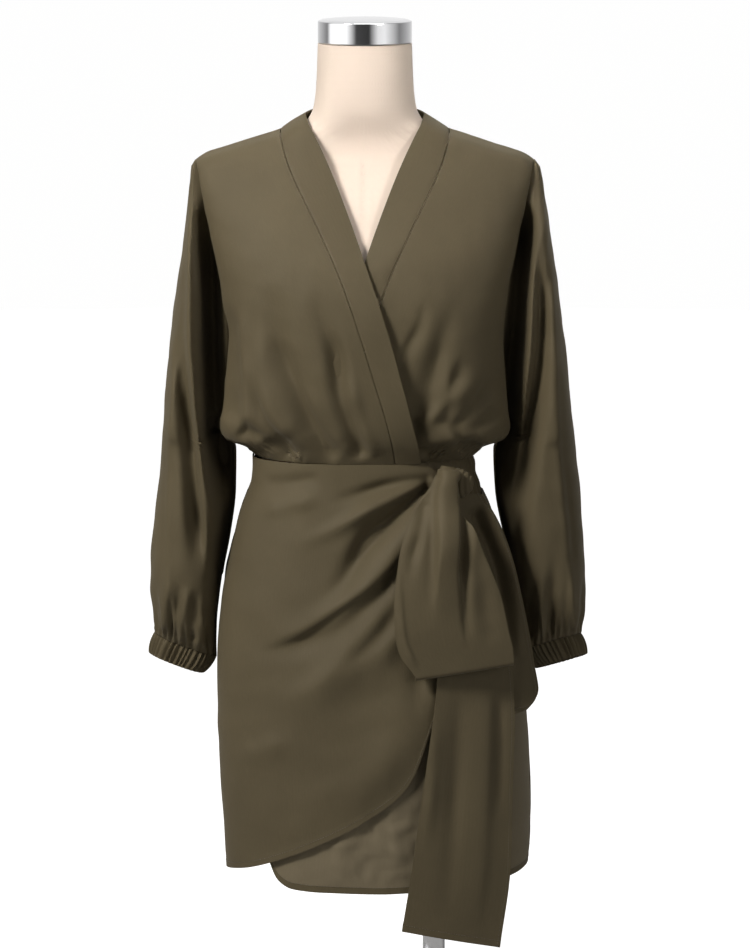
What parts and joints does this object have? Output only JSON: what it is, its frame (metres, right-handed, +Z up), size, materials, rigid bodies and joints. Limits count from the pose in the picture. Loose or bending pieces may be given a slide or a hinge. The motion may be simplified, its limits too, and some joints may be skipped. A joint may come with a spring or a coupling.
{
  "type": "wrap dress on dress form",
  "caption": "Short wrap dress with kimono sleeves, elastic waist and cuffs and a side tie, worn by a limbless dress form on a round stand.",
  "frame": {"origin": "centre of the stand's underside, on the vertical line through the form's neck", "axes": "+Z up, the front faces -Y, the wearer's left is +X"},
  "size_m": [0.4952, 0.35, 1.1259],
  "materials": {
    "olive_cloth": "soft woven crepe with a faint sheen",
    "form_jersey": "matt cream jersey",
    "chrome": "polished"
  },
  "bodies": {
    "root": {"bodice_back": "olive_cloth", "bodice_front_left": "olive_cloth", "bodice_front_right": "olive_cloth", "cuff_left": "olive_cloth", "cuff_right": "olive_cloth", "neckband_left": "olive_cloth", "neckband_right": "olive_cloth", "sash_knot": "olive_cloth", "sash_long_tail": "olive_cloth", "sash_loop": "olive_cloth", "sash_short_tail": "olive_cloth", "skirt_back": "olive_cloth", "skirt_front_left": "olive_cloth", "skirt_front_right": "olive_cloth", "sleeve_left": "olive_cloth", "sleeve_right": "olive_cloth", "waist_casing": "olive_cloth", "form_torso": "form_jersey", "form_neck_cap": "chrome", "form_socket": "chrome", "stand_base": "chrome", "stand_collar": "chrome", "stand_pole": "chrome"}
  },
  "joints": []
}
